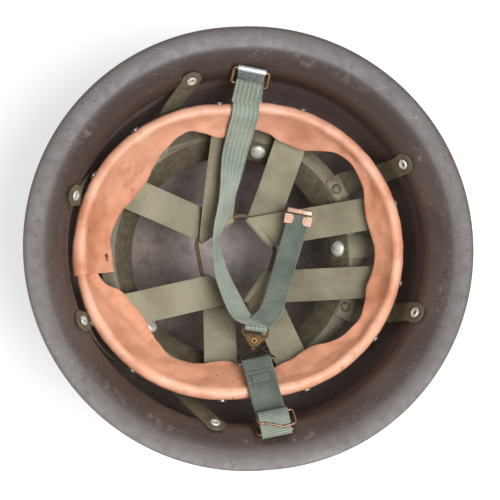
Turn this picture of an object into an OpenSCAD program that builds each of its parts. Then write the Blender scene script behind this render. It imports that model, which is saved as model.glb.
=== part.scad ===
/* [Shell] */
// Width of the rim from side to side
shell_w = 281.5; // [279:0.5:285]
// Length of the rim from brow to nape
shell_l = 287.5; // [285:0.5:291]
// Height from the crown to the rim
shell_h = 165; // [162:1:170]
// Thickness of the shell steel
shell_t = 1.2; // [1:0.1:1.5]

/* [Liner steel] */
// Inside half width of the hoop that carries the leather
hoop_r = 92; // [91:0.5:93]
// Half length of the straight middle of the hoop
hoop_flat = 12; // [11:0.5:13]
// Radius of the crease in the liner ring
ring_r = 80; // [79:0.5:81.5]
// Thickness of the liner steel strips
strip_t = 1; // [0.8:0.1:1.1]
// Width of the spring arms
arm_w = 13; // [11:0.5:13.5]
// Width of the hanger tabs
tab_w = 16; // [13:0.5:16.5]

/* [Leather and crown straps] */
// Thickness of the leather
leather_t = 2; // [1.6:0.1:2.2]
// Width of the crown straps
crown_w = 22; // [19:0.5:23]
// Thickness of the crown straps
crown_t = 1.2; // [0.9:0.1:1.3]
// Diameter of the crown lace
lace_d = 3.2; // [2.6:0.1:3.4]

/* [Chin strap] */
// Width of the chin strap webbing
chin_w = 17.5; // [15.5:0.5:18]
// Width of the short strap webbing
short_w = 19.6; // [16:0.2:19.8]
// Thickness of the chin strap webbing
chin_t = 1.4; // [1.2:0.1:1.5]
// Diameter of the wire of the two strap loops
loop_wire = 2.2; // [1.8:0.1:2.3]
// Distance from the pin to the bar of a strap loop
loop_len = 10; // [9.5:0.5:10.5]

/* [Hidden] */

// Clearances
seat = 0.15;         // plates over the flat steel that they lie on
foot_seat = 0.3;     // round strip feet over the curved steel of the bend
pin_gap = 0.08;      // loop pin in its sleeve, on radius
soft_gap = 0.25;     // webbing and leather clear of the metal inside them
fine = 48;

// Shell section, worked out from the rim inwards
throat = shell_w/2 - 27.75;
bend_r = 14.2;
flare = 45;
lip_bend = 9;
lip_top = 75;
lip_r = 45;
flare_run = shell_w/2 - throat - bend_r*(1 - cos(flare)) - lip_bend*(cos(flare) - cos(lip_top))
  - lip_r*cos(lip_top);
brim_h = bend_r*sin(flare) + flare_run/tan(flare) + lip_bend*(sin(lip_top) - sin(flare))
  + lip_r*(1 - sin(lip_top));
side_r = 85;
side_z = shell_h - 61;
worn = 0.35;         // depth of the small flat that the crown rests on
side_c = [throat - side_r, side_z];
side_k = side_z - shell_t + worn;
crown_r = (pow(side_c[0], 2) + pow(side_k, 2) - pow(side_r, 2))/(2*(side_k - side_r));
crown_c = [0, shell_t - worn + crown_r];
crown_out = crown_r + shell_t;
rest_r = sqrt(2*crown_out*worn - worn*worn);
meet = atan2(side_c[0] - crown_c[0], crown_c[1] - side_c[1]);
bend_c = [throat + bend_r, shell_h - brim_h];
flare_a = [bend_c[0] - bend_r*cos(flare), bend_c[1] + bend_r*sin(flare)];
flare_b = [flare_a[0] + flare_run, flare_a[1] + flare_run/tan(flare)];
lip_c = [flare_b[0] + lip_bend*cos(flare), flare_b[1] - lip_bend*sin(flare)];
lip_a = [lip_c[0] - lip_bend*cos(lip_top), lip_c[1] + lip_bend*sin(lip_top)];
rim_c = [lip_a[0] + lip_r*cos(lip_top), lip_a[1] - lip_r*sin(lip_top)];
shell_flat = shell_l - shell_w;

// Shell rivets
rivet_at = [25.5, 104, 159.5, -159.5, -104, -25.5];
rivet_up = 28;       // angle round the bend
rivet_r = 2.1;
rivet_hole = 2.2;
foot_t = strip_t + 0.1;
foot_top = foot_seat + foot_t;

// Liner
liner_x = -4;        // the liner sits this far behind the middle of the rim
ring_z = shell_h - 65;
band_in = 12;
band_down = 15;
flange_w = 9.5;
band_u = unit([band_in, band_down]);
band_tilt = atan2(band_down, band_in);
tab_rivet_s = 10.5;  // from the lower edge of the band up its slope
tab_seat = 0.45;     // the flat tab bridges the hollow of the round band
hoop_bot = shell_h - 37;
hoop_top = shell_h - 27;
tab_rivet_z = hoop_bot + 1.9;
bracket_rivet_z = hoop_bot + 1.3;
leather_rivet_z = hoop_top - 3.7;
bow_mid = 127.2;
bow_half = 5.5;
arm_at = 28.6;
tab_arcs = [0, 79, 139.2, -139.2, -79];
roll_r = 3.6;
roll_c = [hoop_r + 0.2, hoop_top - 1.5];
tongue = [hoop_r - 19.2, shell_h - 47.5];
valleys = [[40, 81], [84, 84], [115, 87], [168, 82], [190, 86.5], [233, 85], [280, 82], [325, 81]];
leather_rivets = [15, 68, [90, -7], 122, 146, -155, -131, -94, -75, -41, -17];

// Crown straps: fold point, then the two places on the hoop as arc angles
fold_z = shell_h - 89;
fold_gap = lace_d/2 + soft_gap + 0.05;
strap_fr = [[23.5, 16], 67.6, 13.9];
strap_rr = [[-8, 20], 144.8, [90, 0.5]];
strap_rl = [[-8, -22], -93.4, -155.4];
strap_fl = [[18.5, -22], -17.1, -74.9];

// Chin strap loops: sleeve centre, turn about the vertical, fall of the loop below level
sleeve_w = 18.5;
sleeve_bore = loop_wire/2 + pin_gap;
sleeve_out = sleeve_bore + 0.9;
right_pin = [8.8, 114.2, shell_h - 9.5];
right_turn = -14;
right_fall = 24;
left_pin = [6, -112.5, shell_h - 11.4];
left_turn = 7;
left_fall = 124;
wrap_r = loop_wire/2 + soft_gap + chin_t/2;
right_in = [-sin(-right_turn), -cos(right_turn), 0];
left_in = [-sin(left_turn), cos(left_turn), 0];
right_bar = right_pin + loop_len*(cos(right_fall)*right_in - [0, 0, sin(right_fall)]);
left_bar = left_pin + loop_len*(cos(left_fall)*left_in + [0, 0, sin(left_fall)]);

// Hook, ring and clip
hook_at = [4.3, -52.5, shell_h - 45];
hook_turn = -11.5;
hook_t = 1.2;
hook_bar = 0.6;
hook_slot = 15.2;
hook_web = 14.6;
hook_len = 13;
eyelet_y = 7;
ring_wire = 1.8;
ring_apex_y = 10.7;
ring_apex_z = -hook_t/2 - 0.75 - ring_wire/2;
clip_wire = 1.6;
ring_fold = [45.4, -27.6];
clip_fold = [12, -1.6];
clip_top = [4.6, 3.7];
ring_wrap = ring_wire/2 + soft_gap + chin_t/2;
clip_wrap = clip_wire/2 + soft_gap + chin_t/2;

// Middle line of the long web from the loop to the hook, then its roll and width
web_line = [[5.15, 99.5, -17.2], [4.9, 93.9, -19.7], [4, 86.4, -22.6], [2.3, 79.6, -31.4],
  [-0.3, 68.5, -45], [-2.1, 59.5, -51.5], [-6.3, 37.3, -63.5], [-11.8, 20.9, -68],
  [-14.5, 10.8, -68.5], [-14.1, -1.6, -67], [-12.5, -13.4, -65], [-7.5, -31, -59],
  [-3.7, -41.6, -52.5], [0.6, -46.4, -46.4], [4.9, -49.6, -43.35]];
web_roll = [0, 0, 0, 5, 12, 22, 50, 64, 72, 62, 52, 40, 30, 14, 0];
web_turn = [-14, -14, -13, -12, -11, -10, -8, -6, 0, 4, 6, 4, 0, -6, -11.5];
tail_line = [[4.9, -49.6, -46.65], [10.2, -46.5, -49], [16.1, -41.5, -53], [20.9, -33, -57.5],
  [30.5, -9.5, -63], [37, 7.3, -63.5], [40.7, 17.5, -63], [42.8, 24, -62.5]];
tail_roll = [0, -8, -20, -28, -30, -26, -20, -16];
tail_turn = [-11.5, -24, -30, -28, -23, -20, -18, -16];

function unit(v) = v/norm(v);
function lift(p) = [p[0], p[1], shell_h + p[2]];
function polar(r, a, z) = [r*cos(a), r*sin(a), z];
function side(a) = cos(a) < -0.000001 ? -1 : 1;
function rev(v) = [for (i = [len(v) - 1:-1:0]) v[i]];
function arc(c, r, b0, b1, n, s = 0) =
  [for (i = [s:n]) let (b = b0 + (b1 - b0)*i/n) [c[0] + r*cos(b), c[1] + r*sin(b)]];

// A smooth curve through points, n steps to each stretch
function spline(a, b, c, d, t) =
  0.5*(2*b + (c - a)*t + (2*a - 5*b + 4*c - d)*t*t + (3*b - a - 3*c + d)*t*t*t);
function smooth(p, n = 4) = let (k = len(p)) concat(
  [for (i = [0:k - 2]) for (j = [0:n - 1])
    spline(p[max(i - 1, 0)], p[i], p[i + 1], p[min(i + 2, k - 1)], j/n)], [p[k - 1]]);
// The same with its first stretch straight, and its last one too where flat_end says so
function eased(p, flat_end) = let (k = len(p)) flat_end
  ? concat([p[0]], smooth([for (i = [1:k - 2]) p[i]]), [p[k - 1]])
  : concat([p[0]], smooth([for (i = [1:k - 1]) p[i]]));
function above(p, z) = [for (q = p) [q[0], q[1], max(q[2], z)]];

// The values q that go with the points of a path p whose corners are rounded over d[i]
function near(p, q, i, j, d) = q[i] + min(0.48, d/norm(p[j] - p[i]))*(q[j] - q[i]);
function bent(p, q, d, n = 3) = concat([q[0]],
  [for (i = [1:len(p) - 2]) let (u = near(p, q, i, i - 1, d[i]), v = near(p, q, i, i + 1, d[i]))
    for (t = [0:n]) pow(1 - t/n, 2)*u + 2*(t/n)*(1 - t/n)*q[i] + pow(t/n, 2)*v], [q[len(p) - 1]]);
// A closed path with its corners rounded over d
function rounded(p, d, n = 4) = let (k = len(p)) [for (i = [0:k - 1])
  let (u = near(p, p, i, (i + k - 1)%k, d), v = near(p, p, i, (i + 1)%k, d))
    for (t = [0:n]) pow(1 - t/n, 2)*u + 2*(t/n)*(1 - t/n)*p[i] + pow(t/n, 2)*v];

// Outline of a band of thickness t along a path on a plane
function path_n(p, i) = let (d = unit(p[min(i + 1, len(p) - 1)] - p[max(i - 1, 0)])) [-d[1], d[0]];
function band(p, t) = concat([for (i = [0:len(p) - 1]) p[i] + path_n(p, i)*t/2],
  [for (i = [len(p) - 1:-1:0]) p[i] - path_n(p, i)*t/2]);

// Points on the shell's bend, and the direction straight off the steel there
function bend_n(a, up = rivet_up) = [-cos(up)*cos(a), -cos(up)*sin(a), sin(up)];
function bend_p(a, off, up = rivet_up) = let (r = bend_c[0] - (bend_r + off)*cos(up))
  [side(a)*shell_flat/2 + r*cos(a), r*sin(a), bend_c[1] + (bend_r + off)*sin(up)];
// Direction in the steel's surface at a rivet, turned by b from straight down the wall
function bend_d(a, b) = let (down = [-sin(rivet_up)*cos(a), -sin(rivet_up)*sin(a), -cos(rivet_up)])
  cos(b)*down + sin(b)*[-sin(a), cos(a), 0];

// Points of the hoop's oval in the liner's own frame: b is the angle on its end arcs,
// or the angle and the place along X on its straight middle
function turn_of(b) = is_list(b) ? b[0] : b;
function hoop_n(b) = [cos(turn_of(b)), sin(turn_of(b)), 0];
function hoop_p(r, b, z) = [is_list(b) ? b[1] : side(b)*hoop_flat, 0, z] + r*hoop_n(b);
function hoop_polar(b) = let (p = hoop_p(hoop_r, b, 0)) atan2(p[1], p[0]);

// A strip between two edge lines, t thick on the side of a x b
module strip(a, b, t) {
  k = len(a);
  m = (a + b)/2;
  n = [for (i = [0:k - 1]) unit(cross(m[min(i + 1, k - 1)] - m[max(i - 1, 0)], b[i] - a[i]))];
  points = [for (i = [0:k - 1]) each [a[i], a[i] + n[i]*t, b[i] + n[i]*t, b[i]]];
  sides = [for (i = [0:k - 2]) for (j = [0:3]) let (p = 4*i + j, q = 4*i + (j + 1)%4)
    each [[p, q, q + 4], [p, q + 4, p + 4]]];
  last = 4*(k - 1);
  polyhedron(points, concat([[0, 2, 1], [0, 3, 2]], sides,
    [[last, last + 1, last + 2], [last, last + 2, last + 3]]), convexity = 6);
}

// The same round its middle line m, with h half of its width across
module strip_mid(m, h, t) {
  k = len(m);
  n = [for (i = [0:k - 1]) unit(cross(m[min(i + 1, k - 1)] - m[max(i - 1, 0)], h[i]))*t/2];
  strip(m - h - n, m + h - n, t);
}

// A strip along points p, w wide there, whose upper face looks along n
module ribbon(p, n, w, t) {
  k = len(p);
  s = [for (i = [0:k - 1]) unit(cross(p[min(i + 1, k - 1)] - p[max(i - 1, 0)], n[i]))*w[i]/2];
  strip(p + s, p - s, t);
}

module at_rivet(a) {
  translate([side(a)*shell_flat/2, 0, 0]) rotate([0, 0, a])
    translate([bend_c[0] - bend_r*cos(rivet_up), 0, bend_c[1] + bend_r*sin(rivet_up)])
      rotate([0, rivet_up - 90, 0]) children();
}

module in_liner() {
  translate([liner_x, 0, 0]) children();
}

// Local Z stands straight out of the hoop at arc angle b
module at_hoop(r, b, z) {
  translate(hoop_p(r, b, z)) rotate([0, 90, turn_of(b)]) children();
}

function shell_line(t) = concat(arc(side_c, side_r + t, meet - 90, 0, 8),
  arc(bend_c, bend_r - t, 180, 180 - flare, 6), arc(lip_c, lip_bend - t, 180 - flare, 180 - lip_top, 3),
  arc(rim_c, lip_r - t, 180 - lip_top, 90, 2, 1));
shell_in = concat(arc(crown_c, crown_r, -90, meet - 90, 8), shell_line(0));
shell_out = concat([[0, 0]], arc(crown_c, crown_out, asin(rest_r/crown_out) - 90, meet - 90, 8),
  shell_line(shell_t));

module shell() {
  color([0.30, 0.25, 0.24]) difference() {
    union() {
      for (e = [-90, 90])
        translate([e < 0 ? shell_flat/2 : -shell_flat/2, 0, 0]) rotate([0, 0, e])
          rotate_extrude(angle = 180, $fn = 96) polygon(concat(shell_in, rev(shell_out)));
      rotate([90, 0, 90]) translate([0, 0, -shell_flat/2]) linear_extrude(shell_flat)
        polygon(concat(shell_in, rev(shell_out), [for (p = shell_out) if (p[0] > 0) [-p[0], p[1]]],
          [for (p = rev(shell_in)) if (p[0] > 0.001) [-p[0], p[1]]]));
    }
    for (a = rivet_at)
      at_rivet(a) translate([0, 0, -6]) cylinder(h = 12, r = rivet_hole, $fn = 32);
  }
}

// Tubular rivet: rolled ring head inside the bowl, plain dome outside
module shell_rivets() {
  color([0.62, 0.61, 0.59]) for (a = rivet_at) at_rivet(a) rotate_extrude($fn = 32)
    polygon([[0, -3.2], [2.2, -3], [3.5, -2.6], [4.1, -2.1], [rivet_r, -1.45], [rivet_r, foot_top],
      [3, foot_top], [3.4, foot_top + 0.5], [3.1, foot_top + 1.1], [2.3, foot_top + 1.3],
      [1.5, foot_top + 0.9], [1.4, -1], [0, -1]]);
}

module foot(a) {
  at_rivet(a) translate([0, 0, foot_seat]) cylinder(h = foot_t, r = arm_w/2 + 0.5, $fn = fine);
}

module rivet_cut(a) {
  at_rivet(a) translate([0, 0, -2]) cylinder(h = 8, r = rivet_hole, $fn = 32);
}

function ring_p(r, a, up = seat) = polar(r, a, ring_z + up) + [liner_x, 0, 0];

module rear_bow() {
  a = rivet_at[1];
  b = rivet_at[2];
  lift = foot_seat + 0.05;
  p = [bend_p(a, lift), bend_p(a, lift) + 7*bend_d(a, 34), [-48, 90, shell_h - 45],
    ring_p(ring_r + 12.5, bow_mid - bow_half - 1, 4.5), ring_p(ring_r + 7, bow_mid - bow_half),
    ring_p(ring_r + 6.5, bow_mid), ring_p(ring_r + 7, bow_mid + bow_half), ring_p(ring_r + 17.5, bow_mid + 9, 1),
    [-95.5, 56.5, shell_h - 52], [-104.2, 46.9, shell_h - 33], bend_p(b, lift + 0.1) + 7*bend_d(b, -14), bend_p(b, lift)];
  n = [bend_n(a), bend_n(a), [0.35, -0.75, 0.55], [0, -0.3, 1], [0, 0, 1], [0, 0, 1], [0, 0, 1],
    [0.3, -0.2, 1], [0.8, -0.5, 0.4], [0.9, -0.4, 0.1], bend_n(b), bend_n(b)];
  difference() {
    union() {
      foot(a);
      foot(b);
      ribbon(above(eased(p, true), ring_z + seat), eased(n, true), [for (i = [0:60]) arm_w], strip_t);
    }
    rivet_cut(a);
    rivet_cut(b);
    translate(ring_p(ring_r + 6.2, bow_mid, -2)) cylinder(h = 6, r = 1.6, $fn = 32);
  }
}

module rear_bow_right() {
  color([0.33, 0.30, 0.25]) rear_bow();
}

module rear_bow_left() {
  color([0.33, 0.30, 0.25]) mirror([0, 1, 0]) rear_bow();
}

module front_arm() {
  a = rivet_at[0];
  lift = foot_seat + 0.05;
  out = [cos(arm_at), sin(arm_at), 0];
  p = [bend_p(a, lift), bend_p(a, lift) + 7*bend_d(a, 0), [96.5, 47.3, shell_h - 43.5],
    ring_p(ring_r + 13, arm_at, 3), ring_p(ring_r + 8.5, arm_at, seat + 0.2),
    ring_p(ring_r + 4, arm_at), ring_p(ring_r + 0.6, arm_at)];
  wide = [for (w = [0, 0, 0, 2, 3, 3, 3]) [arm_w + w, 0]];
  up = [0, 0, 1];
  n = [bend_n(a), bend_n(a), [-0.7, -0.34, 0.62], 0.5*up - 0.2*out, up, up, up];
  difference() {
    union() {
      foot(a);
      ribbon(above(eased(p, false), ring_z + seat), eased(n, false), [for (w = eased(wide, false)) w[0]], strip_t);
    }
    rivet_cut(a);
    translate(ring_p(ring_r + 4.6, arm_at, -2)) cylinder(h = 6, r = 1.6, $fn = 32);
  }
}

module front_arm_right() {
  color([0.33, 0.30, 0.25]) front_arm();
}

module front_arm_left() {
  color([0.33, 0.30, 0.25]) mirror([0, 1, 0]) front_arm();
}

// Round-headed rivet standing on its grip: under is how far its tail reaches, over the seat of its head
module dome_rivet(under, over, shank, head, high, tail = 0.9) {
  rotate_extrude($fn = 32)
    polygon(concat([[0, -under - tail], [shank*1.5, -under - tail], [shank*1.7, -under - 0.1], [shank, -under - 0.1],
      [shank, over], [head, over]], arc([0, over + 0.25], head, 0, 90, 5, 1)*[[1, 0], [0, high/head]]
      + [for (i = [1:5]) [0, (over + 0.25)*(1 - high/head)]]));
}

module flange_rivets() {
  color([0.45, 0.43, 0.38]) for (s = [-1, 1]) {
    translate(ring_p(ring_r + 6.2, s*bow_mid, 0)) dome_rivet(strip_t, seat + strip_t + 0.15, 1.5, 3.4, 1.6);
    translate(ring_p(ring_r + 4.6, s*arm_at, 0)) dome_rivet(strip_t, seat + strip_t + 0.15, 1.5, 3.4, 1.6);
  }
}

// Local Z stands straight off the inner face of the sloping band
module on_band(a, s) {
  rotate([0, 0, a])
    translate([ring_r - band_in + s*band_u[0], 0, ring_z - band_down + s*band_u[1]])
      rotate([0, -band_tilt, 0]) children();
}

module liner_ring() {
  low = [ring_r - band_in, ring_z - band_down];
  under = strip_t*[band_u[1], -band_u[0]];
  color([0.35, 0.32, 0.27]) in_liner() difference() {
    rotate_extrude($fn = 96) polygon([low, [ring_r, ring_z], [ring_r + flange_w, ring_z],
      [ring_r + flange_w, ring_z - strip_t], [ring_r + 0.5*strip_t, ring_z - strip_t], low + under]);
    for (b = tab_arcs)
      on_band(hoop_polar(b), tab_rivet_s) translate([0, 0, -4]) cylinder(h = 8, r = 1.8, $fn = 32);
    for (s = [-1, 1]) {
      translate(polar(ring_r + 6.2, s*bow_mid, ring_z - 3)) cylinder(h = 6, r = 1.6, $fn = 32);
      translate(polar(ring_r + 4.6, s*arm_at, ring_z - 3)) cylinder(h = 6, r = 1.6, $fn = 32);
    }
  }
}

module hanger_tab(b) {
  a = hoop_polar(b);
  e = [cos(a), sin(a), 0];
  up = [0, 0, 1];
  off = -band_u[1]*e + band_u[0]*up;
  base = (ring_r - band_in)*e + (ring_z - band_down)*up;
  reach = norm(hoop_p(hoop_r, b, 0));
  face = hoop_p(hoop_r + strip_t + seat + strip_t, b, 0);
  slope = band_u[0]*e + band_u[1]*up;
  crease = base + 19.2*slope + tab_seat*off;
  p = [base + 3*slope + tab_seat*off, crease, (ring_r + flange_w + 1)*e + (ring_z + foot_seat)*up,
    (reach - 1)*e + (ring_z + 12)*up, face + (hoop_bot - 5)*up, face + (hoop_bot + 4.5)*up];
  m = -hoop_n(b);
  n = [off, off + up, up, 0.5*up - 0.6*e, m, m];
  round = [0, 0.6, 3, 4, 3, 0];
  q = bent(p, p, round);
  difference() {
    ribbon(q, bent(p, n, round), [for (x = q) tab_w], strip_t);
    on_band(a, tab_rivet_s) translate([0, 0, -2]) cylinder(h = 6, r = 1.8, $fn = 32);
    at_hoop(hoop_r - 2, b, tab_rivet_z) cylinder(h = 8, r = 1.6, $fn = 32);
  }
}

module hanger_tabs() {
  color([0.29, 0.27, 0.23]) in_liner() for (b = tab_arcs) hanger_tab(b);
}

module dome_rivets() {
  color([0.47, 0.45, 0.42]) in_liner() for (b = tab_arcs)
    on_band(hoop_polar(b), tab_rivet_s) dome_rivet(strip_t, tab_seat + strip_t + 0.1, 1.7, 5.6, 2.4);
}

module tab_rivets() {
  color([0.45, 0.43, 0.38]) in_liner() for (b = tab_arcs)
    at_hoop(hoop_r, b, tab_rivet_z) dome_rivet(0, 2*strip_t + seat + 0.1, 1.5, 2, 0.9);
}

module liner_hoop() {
  o = hoop_r + strip_t;
  color([0.45, 0.47, 0.48]) in_liner() difference() {
    union() {
      for (e = [-90, 90])
        translate([e < 0 ? hoop_flat : -hoop_flat, 0, 0]) rotate([0, 0, e])
          rotate_extrude(angle = 180, $fn = 96)
            polygon([[hoop_r, hoop_bot], [o, hoop_bot], [o, hoop_top], [hoop_r, hoop_top]]);
      for (s = [-1, 1])
        translate([-hoop_flat, s > 0 ? hoop_r : -o, hoop_bot])
          cube([2*hoop_flat, strip_t, hoop_top - hoop_bot]);
    }
    for (b = tab_arcs) at_hoop(hoop_r - 2, b, tab_rivet_z) cylinder(h = 5, r = 1.6, $fn = 32);
    for (b = leather_rivets) at_hoop(hoop_r - 2, b, leather_rivet_z) cylinder(h = 5, r = 1.3, $fn = 32);
    for (x = [-5.5, 5.5]) {
      translate([right_pin[0] - liner_x + x, hoop_r - 2, bracket_rivet_z]) rotate([-90, 0, 0])
        cylinder(h = 5, r = 1, $fn = 32);
      translate([left_pin[0] - liner_x + x, -hoop_r + 2, bracket_rivet_z]) rotate([90, 0, 0])
        cylinder(h = 5, r = 1, $fn = 32);
    }
  }
}

leather_out = roll_c[0] + roll_r + leather_t/2;

module hoop_rivets() {
  color([0.75, 0.75, 0.74]) in_liner() for (b = leather_rivets)
    at_hoop(hoop_r, b, leather_rivet_z) dome_rivet(crown_t + 0.95, leather_out - hoop_r + 0.1, 1.2, 3.4, 0.9, 0.5);
}

module sweatband() {
  line = concat([[roll_c[0] + roll_r, hoop_bot + 5]], arc(roll_c, roll_r, 0, 172, 6), [tongue]);
  shape = band(line, leather_t);
  color([0.80, 0.55, 0.43]) in_liner() difference() {
    union() {
      for (e = [-90, 90])
        translate([e < 0 ? hoop_flat : -hoop_flat, 0, 0]) rotate([0, 0, e])
          rotate_extrude(angle = 180, $fn = 96) polygon(shape);
      for (e = [0, 180])
        rotate([0, 0, e]) rotate([90, 0, 90]) translate([0, 0, -hoop_flat])
          linear_extrude(2*hoop_flat) polygon(shape);
    }
    for (v = valleys)
      translate([side(v[0])*hoop_flat, 0, 0]) rotate([0, 0, v[0]]) translate([v[1] - 16, 0, 60])
        cylinder(h = hoop_top - 1.5 - 60, r = 16, $fn = fine);
    for (b = leather_rivets)
      at_hoop(hoop_r + strip_t, b, leather_rivet_z) cylinder(h = 8, r = 1.5, $fn = 32);
  }
}

// One V of webbing: s holds the fold point and the two hoop places
function leg_dir(s, i) = unit(hoop_p(hoop_r, s[i], 0) - [s[0][0], s[0][1], 0]);
function fold_out(s) = unit(leg_dir(s, 1) + leg_dir(s, 2));
function fold_t(s) = let (o = fold_out(s)) [-o[1], o[0], 0];
function fold_half(s) = let (u = leg_dir(s, 1), o = fold_t(s)) crown_w/2/cross([u[0], u[1]], [o[0], o[1]]);

// Middle line of a leg from the fold up to the hoop, with half its width across
function leg_line(s, i) = let (b = s[i], k = i == 1 ? -1 : 1, u = leg_dir(s, i), tau = fold_t(s),
    fold = [s[0][0], s[0][1], fold_z + k*(fold_gap + crown_t/2)],
    e1 = hoop_p(hoop_r - 4, b, hoop_bot - 6 + k), side_u = crown_w/2*[-u[1], u[0], 0],
    across = crown_w/2*[-hoop_n(b)[1], hoop_n(b)[0], 0], half = tau*fold_half(s),
    face = hoop_r - 0.2 - crown_t/2 - hoop_r*(1 - cos(asin(crown_w/2/hoop_r))))
  [[fold + 1.5*u, half], [fold + 9*u + [0, 0, k > 0 ? 5 : 0.5], (half + 2*side_u)/3],
    [(fold + e1)/2 - [0, 0, 1.2], side_u], [e1, across], [hoop_p(face - 0.4, b, hoop_bot), across],
    [hoop_p(face, b, hoop_bot + 5), across], [hoop_p(face, b, hoop_top - 0.6), across]];

module crown_strap(s) {
  low = rev(leg_line(s, 1));
  high = leg_line(s, 2);
  out = fold_out(s);
  bend = [for (q = arc([0, 0], fold_gap + crown_t/2, -90, -270, 8))
    [[s[0][0], s[0][1], fold_z] + q[0]*out + [0, 0, q[1]], high[0][1]]];
  m = concat(smooth([for (p = low) p[0]]), [for (p = bend) p[0]], smooth([for (p = high) p[0]]));
  h = concat(smooth([for (p = low) p[1]]), [for (p = bend) p[1]], smooth([for (p = high) p[1]]));
  color([0.60, 0.57, 0.49]) in_liner() difference() {
    strip_mid(m, h, crown_t);
    for (b = leather_rivets)
      at_hoop(hoop_r - 4, b, leather_rivet_z) cylinder(h = 5, r = 1.5, $fn = 32);
    for (b = tab_arcs)
      at_hoop(hoop_r - 4, b, tab_rivet_z) cylinder(h = 5, r = 2.9, $fn = 32);
  }
}

module crown_strap_front_right() {
  crown_strap(strap_fr);
}

module crown_strap_rear_right() {
  crown_strap(strap_rr);
}

module crown_strap_rear_left() {
  crown_strap(strap_rl);
}

module crown_strap_front_left() {
  crown_strap(strap_fl);
}

// Closed round tube along a line that lies nearly flat across the direction up
module tube(line, up, r, sides = 8) {
  k = len(line);
  points = [for (i = [0:k - 1]) let (d = unit(line[(i + 1)%k] - line[(i + k - 1)%k]), o = unit(cross(d, up)))
    for (j = [0:sides - 1]) line[i] + r*(cos(360*j/sides)*o + sin(360*j/sides)*up)];
  polyhedron(points, [for (i = [0:k - 1]) for (j = [0:sides - 1])
    let (a = i*sides + j, b = i*sides + (j + 1)%sides, c = ((i + 1)%k)*sides + j,
      d = ((i + 1)%k)*sides + (j + 1)%sides) each [[a, b, d], [a, d, c]]], convexity = 8);
}

// Closed round cord through the four folds
module crown_lace() {
  folds = [strap_rr, strap_fr, strap_fl, strap_rl];
  color([0.55, 0.38, 0.25]) in_liner()
    tube(rounded([for (s = folds) for (e = [1, -1]) let (t = e*(fold_half(s) + 2.5), o = fold_t(s))
      [s[0][0] + t*o[0], s[0][1] + t*o[1], fold_z]], 2.2), [0, 0, 1], lace_d/2);
}

// Steel strip from the hoop up to a rolled sleeve; s is the side of the helmet
module strap_bracket(pin, turn, s) {
  x = [pin[0], 0, 0];
  y0 = s*(hoop_r + strip_t + seat);
  along = [cos(turn), sin(turn), 0];
  away = s*[-sin(turn), cos(turn), 0];
  drop = pin - sleeve_out*0.72*away - [0, 0, sleeve_out*0.55];
  m = [x + [0, y0, hoop_bot - 1], x + [0, y0, hoop_bot + 4.2], x + [0, y0 + s*5, hoop_bot + 4.3], drop];
  half = sleeve_w/2 - 0.4;
  wide = [half, 0, 0];
  h = s*[wide, wide, wide, half*along];
  round = [0, 1, 3.5, 0];
  color([0.56, 0.60, 0.61]) difference() {
    union() {
      strip(bent(m, m - h, round), bent(m, m + h, round), strip_t);
      translate(pin) rotate([0, 90, turn]) cylinder(h = sleeve_w, r = sleeve_out, center = true, $fn = fine);
    }
    translate(pin) rotate([0, 90, turn]) cylinder(h = sleeve_w + 4, r = sleeve_bore, center = true, $fn = fine);
    for (dx = [-5.5, 5.5]) translate([pin[0] + dx, y0 - s*2, bracket_rivet_z]) rotate([-s*90, 0, 0])
      cylinder(h = 5, r = 1, $fn = 32);
  }
}

module strap_bracket_right() {
  strap_bracket(right_pin, right_turn, 1);
}

module strap_bracket_left() {
  strap_bracket(left_pin, left_turn, -1);
}

module bracket_rivets() {
  color([0.45, 0.43, 0.38]) for (x = [-5.5, 5.5]) {
    translate([right_pin[0] + x, hoop_r, bracket_rivet_z]) rotate([-90, 0, 0])
      dome_rivet(0.35, 2*strip_t + seat + 0.1, 0.9, 1.4, 0.7, 0.4);
    translate([left_pin[0] + x, -hoop_r, bracket_rivet_z]) rotate([90, 0, 0])
      dome_rivet(0.35, 2*strip_t + seat + 0.1, 0.9, 1.4, 0.7, 0.4);
  }
}

// Wire round a flat outline given anticlockwise on the middle of the wire, with round corners
module wire_frame(p, r, corner) {
  k = len(p);
  v = [for (i = [0:k - 1]) unit(p[(i + 1)%k] - p[i])];
  turn = [for (i = [0:k - 1]) acos(v[(i + k - 1)%k]*v[i])];
  cut = [for (i = [0:k - 1]) corner*tan(turn[i]/2)];
  for (i = [0:k - 1]) {
    u = v[(i + k - 1)%k];
    o = p[i] - u*cut[i] + corner*[-u[1], u[0]];
    translate([o[0], o[1], 0]) rotate([0, 0, atan2(u[1], u[0]) - 90])
      rotate_extrude(angle = turn[i], $fn = fine) translate([corner, 0]) circle(r = r, $fn = 32);
    q = p[i] + v[i]*cut[i];
    translate([q[0], q[1], 0]) rotate([0, 90, atan2(v[i][1], v[i][0])])
      cylinder(h = norm(p[(i + 1)%k] - p[i]) - cut[i] - cut[(i + 1)%k], r = r, $fn = 32);
  }
}

module wire_loop(pin, turn, tilt) {
  half = sleeve_w/2 + 0.2 + loop_wire/2 + 1.2;
  color([0.66, 0.45, 0.24]) translate(pin) rotate([0, 0, turn]) rotate([tilt, 0, 0])
    wire_frame([[-half, -loop_len], [half, -loop_len], [half, 0], [-half, 0]], loop_wire/2, 1.6);
}

module wire_loop_right() {
  wire_loop(right_pin, right_turn, right_fall);
}

module wire_loop_left() {
  wire_loop(left_pin, left_turn, left_fall - 180);
}

// Webbing drawn across its width from a path on the plane through a loop's bar
module webbing(at, turn, points, w) {
  translate(at) rotate([0, 0, turn]) rotate([90, 0, 90]) linear_extrude(w, center = true)
    polygon(band(points, chin_t));
}

function half_turned(w, turn, roll) = w/2*[cos(turn)*cos(roll), sin(turn)*cos(roll), -sin(roll)];

module free_web(line, turn, roll, w, t) {
  m = [for (p = line) lift(p)];
  h = [for (i = [0:len(line) - 1]) half_turned(w[i], turn[i], roll[i])];
  strip_mid(smooth(m), smooth(h), t);
}

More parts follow.
